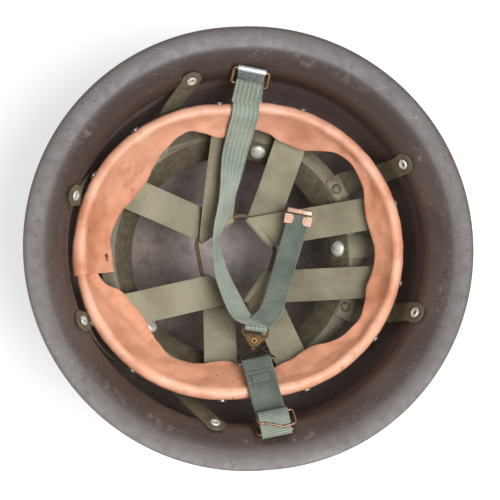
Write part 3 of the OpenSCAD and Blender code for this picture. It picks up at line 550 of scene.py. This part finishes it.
edgeTurns = smoothed([Vector((at, radius, 0)) for at, radius in leatherEdge], 6)


# Radius at which the leather ends, in the direction turn from the liner's middle
def innerEdge(turn):
    for a, b in zip(edgeTurns, edgeTurns[1:]):
        if a.x <= turn <= b.x:
            return a.y + (b.y - a.y) * (turn - a.x) / (b.x - a.x)
    return edgeTurns[-1].y


# Point on an oval in the direction turn from its middle, and the way straight out
def ovalPlace(turn, radius):
    u = turnTo(turn)
    if abs(u.x) * radius <= hoopFlat * abs(u.y):
        way = Vector((0, math.copysign(1, u.y), 0))
        return Vector((u.x / abs(u.y) * radius, math.copysign(radius, u.y), 0)), way
    end = Vector((math.copysign(hoopFlat, u.x), 0, 0))
    along = u.dot(end) + math.sqrt(u.dot(end) ** 2 - hoopFlat ** 2 + radius ** 2)
    place = u * along
    return place, (place - end).normalized()


# Across the strip: the outer leg, the roll over the hoop and the slope down to the free edge
def leatherLine(edge):
    tipR, tipZ = leather["tongue"]
    slope = (topInner[1] - tipZ) / (topInner[0] - tipR)
    line = [(leather["rollR"] + leather["roll"], z) for z in (leather["outZ"], leather["outZ"] + 1.8)]
    line += arcPoints((leather["rollR"], leather["rollZ"]), leather["roll"], 0, leather["rollEnd"], 12)
    for k in range(1, 17):
        r = topInner[0] + (edge - topInner[0]) * k / 16
        drop = slope if r > tipR + 1 else slope * 0.55
        line.append((r, line[-1][1] + drop * (r - line[-1][0])))
    return line


# Lift of the soft leather at one place: waves and puckers grow from the roll to the free edge
def leatherLift(place, k):
    soft = max(0.0, min(1.0, (k - 12) / 9))
    broad = noise.noise(Vector((place.x * 0.05, place.y * 0.05, 3.1)))
    pucker = noise.noise(Vector((place.x * 0.11 + 7, place.y * 0.11, place.z * 0.05)))
    fine = noise.noise(Vector((place.x * 0.25, place.y * 0.25, place.z * 0.2)))
    hollow = math.sin(math.pi * min(1.0, max(0.0, (k - 13) / 16)))
    return soft * (2.2 * broad + 1.0 * pucker) + 0.22 * fine + 0.3 * pucker - 0.9 * hollow


def sweatbandRows():
    rows = []
    start, end, lap = leather["lapStart"], leather["lapEnd"], leather["lap"]
    for i in range(leather["steps"] + 1):
        turn = start + (end - start) * i / leather["steps"]
        underLap = -lap * max(0.0, 1 - (turn - start) / leather["lapUnder"]) ** 0.5
        overLap = lap * max(0.0, 1 - (end - turn) / leather["lapOver"]) ** 0.5
        row = []
        for k, (r, z) in enumerate(leatherLine(innerEdge(turn))):
            place, way = ovalPlace(turn, r)
            place.z = z
            roll = min(90, 10.5 * max(0, k - 1)) if k < 11 else 128
            normal = way * cosd(roll) + upward * sind(roll)
            row.append(place + linerShift + normal * (leatherLift(place, k) + underLap + overLap))
        rows.append(row)
    return rows


sweatband = addObject("leather_sweatband", gridMesh(sweatbandRows()), looks["leather"],
                      stands=["sweatband"], sharp=70)
thicken(sweatband, leather["thickness"], 0.45)
print("sweatband made")

# Crown webbing: four V shaped loops gathered by the lace
crown = {"width": 22.0, "thickness": 1.2, "foldZ": shellH - 89, "foldR": 2.5, "topZ": 122,
         "behindHoop": (128, 133, 137.4)}
# each strap: the middle of its fold, and the places on the hoop where its two legs end
crownStraps = {"front_right": (Vector((23.5, 16, 0)), 67.6, 13.9),
               "rear_right": (Vector((-8, 20, 0)), 144.8, (90, 0.5)),
               "rear_left": (Vector((-8, -22, 0)), -93.4, -155.4),
               "front_left": (Vector((18.5, -22, 0)), -17.1, -74.9)}


# A place on the hoop is a turn round one of its ends, or (turn, along) on its straight side
def hoopPoint(r, place, z):
    if isinstance(place, tuple):
        turn, along = place
    else:
        turn, along = place, hoopFlat if cosd(place) > 0 else -hoopFlat
    return Vector((along + r * cosd(turn), r * sind(turn), z))


def hoopOut(place):
    return turnTo(place[0] if isinstance(place, tuple) else place)


def legDir(strap, i):
    return (hoopPoint(hoopR, strap[i], 0) - strap[0]).normalized()


def foldOut(strap):
    return (legDir(strap, 1) + legDir(strap, 2)).normalized()


def foldAcross(strap):
    out = foldOut(strap)
    return Vector((-out.y, out.x, 0))


def foldHalf(strap):
    u, across = legDir(strap, 1), foldAcross(strap)
    return crown["width"] / 2 / (u.x * across.y - u.y * across.x)


def legLine(strap, i):
    place, side = strap[i], (-1 if i == 1 else 1)
    u, across = legDir(strap, i), foldAcross(strap)
    fold = strap[0] + Vector((0, 0, crown["foldZ"] + side * crown["foldR"]))
    top = hoopPoint(hoopR - 4, place, crown["topZ"] + side)
    half, hoopNormal = crown["width"] / 2, hoopOut(place)
    sideways = half * Vector((-u.y, u.x, 0))
    level = half * Vector((-hoopNormal.y, hoopNormal.x, 0))
    wide = across * foldHalf(strap)
    face = hoopR - 0.2 - crown["thickness"] / 2 - hoopR * (1 - math.cos(math.asin(half / hoopR)))
    low, middle, high = crown["behindHoop"]
    rise = upward * (5 if side > 0 else 0.5)
    points = [fold + 1.5 * u, fold + 9 * u + rise, (fold + top) / 2 - upward * 1.2, top,
              hoopPoint(face - 0.4, place, low), hoopPoint(face, place, middle), hoopPoint(face, place, high)]
    halves = [wide, (wide + 2 * sideways) / 3, sideways] + [level] * 4
    return smoothed(points, 10), smoothed(halves, 10)


for name, strap in crownStraps.items():
    low, lowHalf = legLine(strap, 1)
    high, highHalf = legLine(strap, 2)
    out, wide = foldOut(strap), foldAcross(strap) * foldHalf(strap)
    turnsRound = arcPoints((0, 0), crown["foldR"], -90, -270, 14)
    middle = [strap[0] + q[0] * out + upward * (crown["foldZ"] + q[1]) for q in turnsRound]
    line = [p + linerShift for p in low[::-1] + middle + high]
    halves = lowHalf[::-1] + [wide] * len(middle) + highHalf
    webMesh = band(line, halves, crown["width"], 12, 0.15, 0.35, low[-1].x)
    web = addObject("crown_web_" + name, webMesh, looks["crownWeb"], stands=["crown_strap_" + name], sharp=80)
    thicken(web, crown["thickness"], 0.35)
print("crown webbing made")

# Lace gathered through the four folds, with its corners round the folds' ends
laceSet = {"radius": 1.35, "sides": 16, "cut": 2.6, "past": 2.5}
laceCorners = []
for name in ("rear_right", "front_right", "front_left", "rear_left"):
    strap = crownStraps[name]
    for end in (1, -1):
        reachOut = end * (foldHalf(strap) + laceSet["past"]) * foldAcross(strap)
        laceCorners.append(strap[0] + reachOut + linerShift + upward * crown["foldZ"])
laceLine = roundCorners(laceCorners, laceSet["cut"])
lace = addObject("crown_lace_cord", closedTube(laceLine, laceSet["radius"], laceSet["sides"]), looks["lace"],
                 stands=["crown_lace"], sharp=80)

# Where the strap hardware sits: the bars of the two loops and the hook, and which way each is turned
rightBar, rightTurn = Vector((6.58993, 105.336, 151.433)), -14.0
leftBar, leftTurn = Vector((6.68149, -118.05, 161.89)), 7.0
hookAt, hookTurn = Vector((4.3, -52.5, 120)), -11.5


# Places a flat path (inwards, up) on the plane across a bar
def onBar(at, turn, pairs):
    ahead = turnTo(turn + 90)
    return [at + ahead * p[0] + upward * p[1] for p in pairs]


def across(turn, roll, width):
    return width / 2 * turnTo(turn, roll)


# Chin strap: one tape from the right loop to the hook and back as a free tail.
# Each stop is x, y, height below the rim, roll, and turn of the tape
chin = {"width": 17.5, "thickness": 1.2, "hookWidth": 14.6, "tailWidth": 15.5, "wrapR": 2.05,
        "hookWrapR": 1.55}
webStops = [
    (5.15, 99.5, -17.2, 0, -14), (4.9, 93.9, -19.7, 0, -14), (4, 86.4, -22.6, 0, -13),
    (2.3, 79.6, -31.4, 5, -12), (-0.3, 68.5, -45, 12, -11), (-2.1, 59.5, -51.5, 22, -10),
    (-6.3, 37.3, -63.5, 50, -8), (-11.8, 20.9, -68, 64, -6), (-14.5, 10.8, -68.5, 72, 0),
    (-14.1, -1.6, -67, 62, 4), (-12.5, -13.4, -65, 52, 6), (-7.5, -31, -59, 40, 4),
    (-3.7, -41.6, -52.5, 30, 0), (0.6, -46.4, -46.4, 14, -6), (4.9, -49.6, -43.35, 0, -11.5)]
tailStops = [
    (4.9, -49.6, -46.65, 0, -11.5), (10.2, -46.5, -49, -8, -24), (16.1, -41.5, -53, -20, -30),
    (20.9, -33, -57.5, -28, -28), (30.5, -9.5, -63, -30, -23), (37, 7.3, -63.5, -26, -20),
    (40.7, 17.5, -63, -20, -18), (42.8, 24, -62.5, -16, -16)]


def freeWeb(stops, widths, steps=10):
    points = smoothed([Vector((x, y, shellH + z)) for x, y, z, roll, turn in stops], steps)
    halves = smoothed([across(stop[4], stop[3], w) for stop, w in zip(stops, widths)], steps)
    return points, halves


def chinPiece(name, line, halves, width, look="chinWeb", columns=10, bow=0.0, wave=0.0, seed=0.0, stands=()):
    piece = addObject(name, band(line, halves, width, columns, bow, wave, seed), looks[look], body="chin_web",
                      stands=stands, sharp=80)
    thicken(piece, chin["thickness"], 0.3)


# the tape narrows to the hook's width over its last stops
webWidths = [chin["width"] - 0.1] * 12 + [chin["hookWidth"] + 2.9 * k / 4 for k in (2, 1, 0)]
webPoints, webHalves = freeWeb(webStops, webWidths)
tailWidths = [min(chin["hookWidth"] + 0.4 * i, chin["tailWidth"]) for i in range(8)]
tailPoints, tailHalves = freeWeb(tailStops, tailWidths)
loopArc = arcPoints((0, 0), chin["wrapR"], 100, -80, 12)
hookArc = arcPoints((1.3, 0), chin["hookWrapR"], 90, 270, 12)
wrapPath = smoothedPairs([(-11.5, -4.9), (-8, -2.3), (-4.5, -0.2)] + loopArc + [(-4, -3.2), (-7.4, -4.6)], 3)
loopWrap = onBar(rightBar, rightTurn, wrapPath)
hookWrap = onBar(hookAt, hookTurn, [(2.3, 1.65)] + hookArc + [(2.3, -1.65)])
wrapHalf = across(rightTurn, 0, chin["width"])
hookHalf = across(hookTurn, 0, chin["hookWidth"])
chinPiece("chin_web_long", webPoints, webHalves, chin["width"], "chinWeb", 12, 0.12, 0.25, 2.0,
          stands=["chin_strap"])
chinPiece("chin_web_loop_fold", loopWrap, [wrapHalf] * len(loopWrap), chin["width"])
chinPiece("chin_web_hook_fold", hookWrap, [hookHalf] * len(hookWrap), chin["hookWidth"])
# the tail uses the darker copy of the chin tape's look: painted shade
chinPiece("chin_web_tail", tailPoints, tailHalves, chin["width"], "shadedTailWeb", 12, 0.2, 0.4, 5.0)
print("chin web made")

# Short strap: one tape round the ring, the loop's bar and the clip; its folds are (inwards, up) from the bar
shortStrap = {"width": 19.6, "ringFold": (45.4, -27.6), "clipFold": (12.0, -1.6), "ringWrapR": 1.85,
              "clipWrapR": 1.75}
shortPath = ([(30.5, -16.3), (36, -20.2), (41.4, -23.5)]
             + arcPoints(shortStrap["ringFold"], shortStrap["ringWrapR"], 62, -118, 14)
             + [(41, -26.5), (35, -22.5), (31.5, -20), (28, -17.8), (21, -13.7), (14.4, -8.9), (9.7, -4.7),
                (8.1, -3.9), (4.2, -2.95)]
             + arcPoints((0, 0), chin["wrapR"], -82, -270, 14) + [(4, 1.95), (8, 1.3)]
             + arcPoints(shortStrap["clipFold"], shortStrap["clipWrapR"], 72, -105, 12) + [(9.8, -2.3)])
shortLine = onBar(leftBar, leftTurn, shortPath)
shortHalves = [across(leftTurn, 0, shortStrap["width"])] * len(shortLine)
shortWeb = addObject("short_web", band(shortLine, shortHalves, shortStrap["width"], 12, 0, 0.12, 9.0),
                     looks["shortWeb"], body="short_web", stands=["short_strap"], sharp=80)
thicken(shortWeb, chin["thickness"], 0.3)


# Rows of thread where the tapes are sewn
stitch = {"radius": 0.28, "length": 2.2, "flat": 0.75, "lift": 0.78}


def stitchRow(name, start, end, up, count, body):
    bm = bmesh.new()
    ahead = (end - start) / count
    turn = Matrix([ahead.normalized(), up.cross(ahead).normalized(), up]).transposed().to_4x4()
    for i in range(count):
        middle = start + ahead * (i + 0.5)
        ball = bmesh.ops.create_uvsphere(bm, u_segments=8, v_segments=5, radius=stitch["radius"] * mm)
        made = ball["verts"]
        bmesh.ops.scale(bm, vec=(stitch["length"] / 2 / stitch["radius"], 1, stitch["flat"]), verts=made)
        bmesh.ops.transform(bm, matrix=Matrix.Translation(middle * mm) @ turn, verts=made)
    thread = addObject(name, bm, looks["thread"], body=body, sharp=80)


def onShort(inwards, up, side, lift=0.0):
    return onBar(leftBar, leftTurn, [(inwards, up + lift)])[0] + turnTo(leftTurn) * side


# each row: its two ends as (inwards, up, across) from the left bar, and how many stitches it has
shortRows = [((40.0, -22.7, -8), (40.0, -22.7, 8), 7), ((37.2, -20.95, -8), (37.2, -20.95, 8), 7),
             ((37.2, -20.95, -6.4), (32.2, -17.55, -6.4), 3), ((37.2, -20.95, 6.4), (32.2, -17.55, 6.4), 3),
             # the last row lies along the flap's end: its dark thread is partly real stitching and partly
             # painted shade for the flap's edge
             ((31.6, -17.1, -7.6), (31.6, -17.1, 7.6), 8)]
for k, (start, end, count) in enumerate(shortRows):
    stitchRow("short_stitch_%d" % k, onShort(*start, stitch["lift"]), onShort(*end, stitch["lift"]),
              Vector((0, 0.55, 0.84)), count, "short_web")
for k, y in enumerate((97.0, 100.4)):
    base = Vector((5.0 + (y - 97) * 0.05, y, shellH - 18.2 + (y - 97) * 0.55))
    side = turnTo(rightTurn) * 7.6
    stitchRow("web_stitch_%d" % k, base - side, base + side, Vector((0, -0.45, 0.89)), 6, "chin_web")
print("short strap made")


# Metal parts: smooth, softly edged copies of the frame's own nodes; edge is the bevel's width,
# and flat faces are joined first unless the part is all round wire
def softCopy(node, look, edge=0.0, body="helmet", angle=38):
    bm = bmesh.new()
    bm.from_mesh(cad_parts[node].data)
    bmesh.ops.remove_doubles(bm, verts=bm.verts, dist=0.000004)
    bmesh.ops.dissolve_degenerate(bm, edges=bm.edges, dist=0.000001)
    if edge:
        bmesh.ops.dissolve_limit(bm, angle_limit=math.radians(0.6), verts=bm.verts, edges=bm.edges)
        corners = [e for e in bm.edges
                   if len(e.link_faces) == 2 and e.calc_face_angle(0) > math.radians(angle)]
        bmesh.ops.bevel(bm, geom=corners, offset=edge * mm, offset_type="OFFSET", segments=2, profile=0.5,
                        affect="EDGES", clamp_overlap=True, material=-1)
    copy = addObject(node + "_piece", bm, looks[look], body=body, stands=[node], sharp=angle)


softCopy("liner_ring", "ring", 0.25)
softCopy("liner_hoop", "blued", 0.15)
softCopy("hanger_tabs", "arm", 0.2)
for side in ("right", "left"):
    softCopy("rear_bow_" + side, "arm", 0.25)
    softCopy("front_arm_" + side, "arm", 0.25)
    softCopy("strap_bracket_" + side, "blued", 0.15)
    softCopy("wire_loop_" + side, "brass", body=side + "_loop")
for rivets, look in (("shell", "steel"), ("dome", "steel"), ("flange", "ring"), ("tab", "ring"),
                     ("bracket", "steel"), ("hoop", "bright")):
    softCopy(rivets + "_rivets", look)
softCopy("hook_plate", "bronze", 0.2, body="hook")
softCopy("hook_eyelet", "eyelet", body="hook")

# Broad face of the hook: a rounded triangle with a hole, over the plate
faceSet = {"half": 9.1, "top": -2.9, "side": -3.3, "middle": -7.0, "round": 4.6, "hole": 1.5,
           "thickness": 1.36}
facePoint = (0, faceSet["middle"])
faceOuter = [(-faceSet["half"], faceSet["top"]), (-faceSet["half"], faceSet["side"])] \
    + arcPoints(facePoint, faceSet["round"], 212, 328, 16) \
    + [(faceSet["half"], faceSet["side"]), (faceSet["half"], faceSet["top"])]
faceBm = bmesh.new()
for ring in (faceOuter, arcPoints(facePoint, faceSet["hole"], 0, 360, 24, 1)):
    verts = [faceBm.verts.new(Vector((x, y, 0)) * mm) for x, y in ring]
    for a, b in zip(verts, verts[1:] + verts[:1]):
        faceBm.edges.new((a, b))
bmesh.ops.triangle_fill(faceBm, edges=faceBm.edges, use_beauty=True)
faceTurn = Matrix.Rotation(math.radians(hookTurn), 4, "Z")
bmesh.ops.transform(faceBm, matrix=Matrix.Translation(hookAt * mm) @ faceTurn, verts=faceBm.verts)
hookFace = addObject("hook_broad_face", faceBm, looks["bronze"], body="hook", sharp=40)
thicken(hookFace, faceSet["thickness"], 0.25)
softCopy("wire_ring", "ringWire", body="ring", angle=60)

# Strap tip: a copper bar across the tail's end, with a pair of tabs folded over each corner
tipSet = {"bar": (17.4, 3.6, 2.6), "barAt": (0, 2.2, 0.5), "barEdge": 0.8, "tab": (6.2, 6.4, 0.8),
          "tabAt": (6.2, -3.7, 1.15), "tabRound": 2.6}
tipBm = bmesh.new()


def tipPiece(size, place, chosen, rounding, segments):
    made = bmesh.ops.create_cube(tipBm, size=1)["verts"]
    bmesh.ops.scale(tipBm, vec=[c * mm for c in size], verts=made)
    bmesh.ops.translate(tipBm, vec=[c * mm for c in place], verts=made)
    around = list({e for v in made for e in v.link_edges})
    bmesh.ops.bevel(tipBm, geom=[e for e in around if chosen(e)], offset=rounding * mm, segments=segments,
                    profile=0.5, affect="EDGES", offset_type="OFFSET", material=-1)


# a tab is rounded at its two upright edges nearest the tape's middle
def innerUpright(edge):
    a, b = (v.co for v in edge.verts)
    return abs(a.z - b.z) > 0.0005 and abs(a.x) < tipSet["tabAt"][0] * mm


tipPiece(tipSet["bar"], tipSet["barAt"], lambda edge: True, tipSet["barEdge"], 4)
tabX, tabY, tabZ = tipSet["tabAt"]
for side in (-1, 1):
    for face in (1, -1):
        tipPiece(tipSet["tab"], (side * tabX, tabY, face * tabZ), innerUpright, tipSet["tabRound"], 6)
before, last = (Vector((x, y, shellH + z)) for x, y, z, roll, turn in tailStops[-2:])
tailRoll, tailTurn = tailStops[-1][3:]
tipPitch = math.asin((last - before).normalized().z / cosd(tailRoll))
tipTurn = Matrix.Rotation(math.radians(tailTurn), 4, "Z") @ Matrix.Rotation(math.radians(tailRoll), 4, "Y") \
    @ Matrix.Rotation(tipPitch, 4, "X")
bmesh.ops.transform(tipBm, matrix=Matrix.Translation(last * mm) @ tipTurn, verts=tipBm.verts)
tip = addObject("strap_tip_copper", tipBm, looks["copper"], body="chin_web", stands=["strap_tip"], sharp=35)

# Slide clip: one wire bent round, with a jog where it passes over the tape; stops are (inwards, up, across)
clipSet = {"radius": 0.8, "sides": 12, "cut": 2.2,
           "stops": [(*shortStrap["clipFold"], -10.9), (*shortStrap["clipFold"], 13.1), (3.4, 3.6, 13.1),
                     (2.6, 3.75, 4.2), (5.4, 3.4, -1.4), (7.8, 3.0, -10.9)]}
clipLine = roundCorners([onShort(*stop) for stop in clipSet["stops"]], clipSet["cut"], 8)
clip = addObject("slide_clip_wire", closedTube(clipLine, clipSet["radius"], clipSet["sides"]), looks["wire"],
                 body="clip", stands=["slide_clip"], sharp=80)
print("metal pieces made")

# Stage: pale floor, soft light from the right and below, camera straight over the open rim (metres)
stageSet = {"floorSize": 6.0, "floorTone": 0.5, "floorGlow": 0.64, "skyFill": 0.3,
            "camera": (-0.1379, -0.0692, 1.0524), "look": (0.151, 0.076, -1.0),
            "roll": 4.07, "lens": 102.5, "shift": (0.005, -0.0024),
            "keyAt": (0.27, -0.26, 1.55), "keySize": 0.75, "keyPower": 26, "keyAim": 0.08}
view = Vector(stageSet["look"]).normalized()
up0 = (Vector((0, 1, 0)) - view * view.y).normalized()
right0 = view.cross(up0)
rightAxis = cosd(stageSet["roll"]) * right0 - sind(stageSet["roll"]) * up0
upAxis = sind(stageSet["roll"]) * right0 + cosd(stageSet["roll"]) * up0
cameraData = bpy.data.cameras.new("camera")
cameraData.lens = stageSet["lens"]
cameraData.sensor_width = 36
cameraData.shift_x, cameraData.shift_y = stageSet["shift"]
cameraObj = bpy.data.objects.new("camera", cameraData)
bpy.context.collection.objects.link(cameraObj)
cameraTurn = Matrix([rightAxis, upAxis, -view]).transposed().to_4x4()
cameraObj.matrix_world = Matrix.Translation(stageSet["camera"]) @ cameraTurn
bpy.context.scene.camera = cameraObj


# 1 for rays that see the floor or the sky itself, 0 for the light that they would give off
def seenRays(tree):
    path = tree.nodes.new("ShaderNodeLightPath")
    seen, glossy, through = (Wire(tree, path.outputs[name])
                             for name in ("Is Camera Ray", "Is Glossy Ray", "Is Transmission Ray"))
    return seen.most(glossy).most(through)


floorLook = bpy.data.materials.new("pale_floor")
floorLook.use_nodes = True
floorShader = floorLook.node_tree.nodes["Principled BSDF"]
floorShader.inputs["Base Color"].default_value = (*[stageSet["floorTone"]] * 3, 1)
floorShader.inputs["Roughness"].default_value = 0.9
floorShader.inputs["Emission Strength"].default_value = 1.0
glow = mix(seenRays(floorLook.node_tree), (0.0, 0.0, 0.0), (stageSet["floorGlow"],) * 3)
floorLook.node_tree.links.new(glow.socket, floorShader.inputs["Emission Color"])
floorBm = bmesh.new()
bmesh.ops.create_grid(floorBm, x_segments=1, y_segments=1, size=stageSet["floorSize"])
floorObj = addObject("floor", floorBm, floorLook, body=None)

world = bpy.data.worlds.new("studio")
bpy.context.scene.world = world
world.use_nodes = True
sky = world.node_tree.nodes["Background"]
sky.inputs["Color"].default_value = (1, 1, 1, 1)
skyLevel = seenRays(world.node_tree) * (1 - stageSet["skyFill"]) + stageSet["skyFill"]
world.node_tree.links.new(skyLevel.socket, sky.inputs["Strength"])

keyData = bpy.data.lights.new("key", "AREA")
keyData.shape = "DISK"
keyData.size = stageSet["keySize"]
keyData.energy = stageSet["keyPower"]
keyLamp = bpy.data.objects.new("key", keyData)
bpy.context.collection.objects.link(keyLamp)
away = Vector(stageSet["keyAt"]) - Vector((0, 0, stageSet["keyAim"]))
keyTurn = away.to_track_quat("Z", "Y").to_matrix().to_4x4()
keyLamp.matrix_world = Matrix.Translation(stageSet["keyAt"]) @ keyTurn
bpy.context.scene.view_settings.view_transform = "Standard"
print("stage made")
